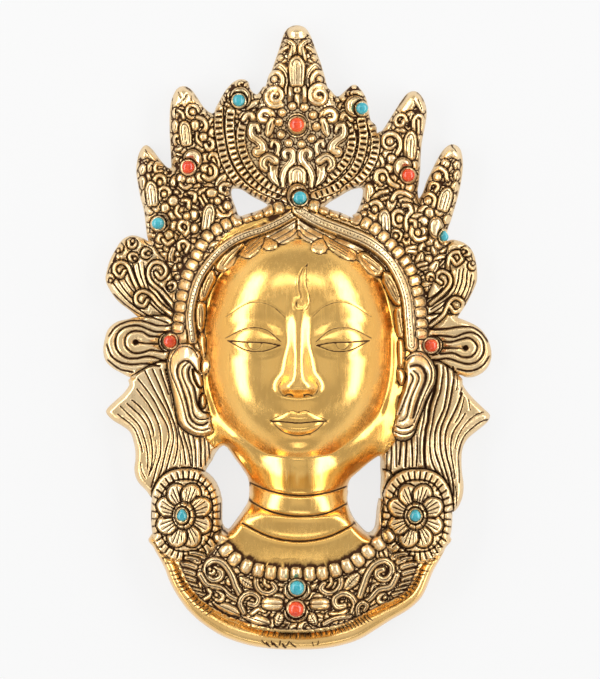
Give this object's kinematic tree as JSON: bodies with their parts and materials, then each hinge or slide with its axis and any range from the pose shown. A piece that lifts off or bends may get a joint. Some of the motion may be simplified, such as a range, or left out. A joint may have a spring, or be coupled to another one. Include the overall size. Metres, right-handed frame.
{
  "type": "brass tara mask",
  "caption": "Cast brass goddess mask with a pierced jewelled crown, ear discs, necklace and small set stones; hollow behind, it lies on its back or hangs flat on a wall.",
  "frame": {"origin": "middle of the mask's footprint, on the plane that its back lies on", "axes": "+X to the right of the face as it is looked at, +Y towards the crown's tip, +Z out of the face"},
  "size_m": [0.1894, 0.3053, 0.0596],
  "materials": {
    "brass": "polished face, antiqued carving with dark patina in its lines",
    "coral": "glossy orange-red coral cabochon",
    "turquoise": "glossy blue-green turquoise cabochon"
  },
  "bodies": {
    "root": {"mask_casting": "brass", "coral_medallion": "coral", "coral_leaf_left": "coral", "coral_leaf_right": "coral", "coral_ear_left": "coral", "coral_ear_right": "coral", "coral_collar": "coral", "turquoise_beast_left": "turquoise", "turquoise_beast_right": "turquoise", "turquoise_crown_foot": "turquoise", "turquoise_outer_left": "turquoise", "turquoise_outer_right": "turquoise", "turquoise_disc_left": "turquoise", "turquoise_disc_right": "turquoise", "turquoise_collar": "turquoise"}
  },
  "joints": []
}
